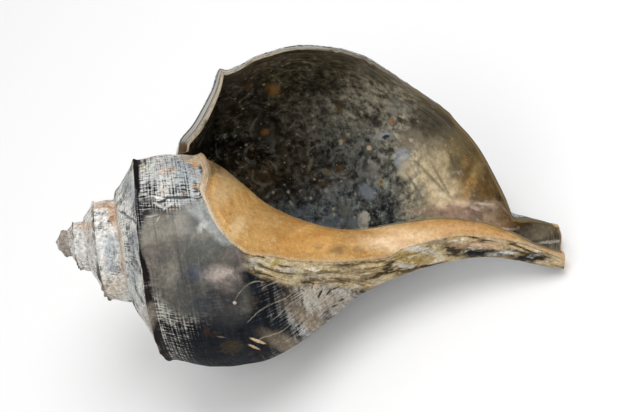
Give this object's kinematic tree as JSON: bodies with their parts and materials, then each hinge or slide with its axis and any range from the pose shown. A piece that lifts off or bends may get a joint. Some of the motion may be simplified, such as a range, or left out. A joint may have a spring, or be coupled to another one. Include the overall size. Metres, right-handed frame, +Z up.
{
  "type": "whelk shell",
  "caption": "Spiral whelk shell with a stepped spire, keeled shoulder, wide open mouth and long siphonal canal, lying on its back.",
  "frame": {"origin": "middle of the bounding box, on the surface that the shell lies on", "axes": "+X from the apex towards the tip of the siphonal canal, +Z up out of the mouth's side, +Y towards the outer lip"},
  "size_m": [0.1484, 0.0942, 0.0838],
  "materials": {
    "shell": "chalky grey outside, glossy ochre at the inner lip, dark and glossy inside"
  },
  "bodies": {
    "root": {"shell": "shell"}
  },
  "joints": []
}
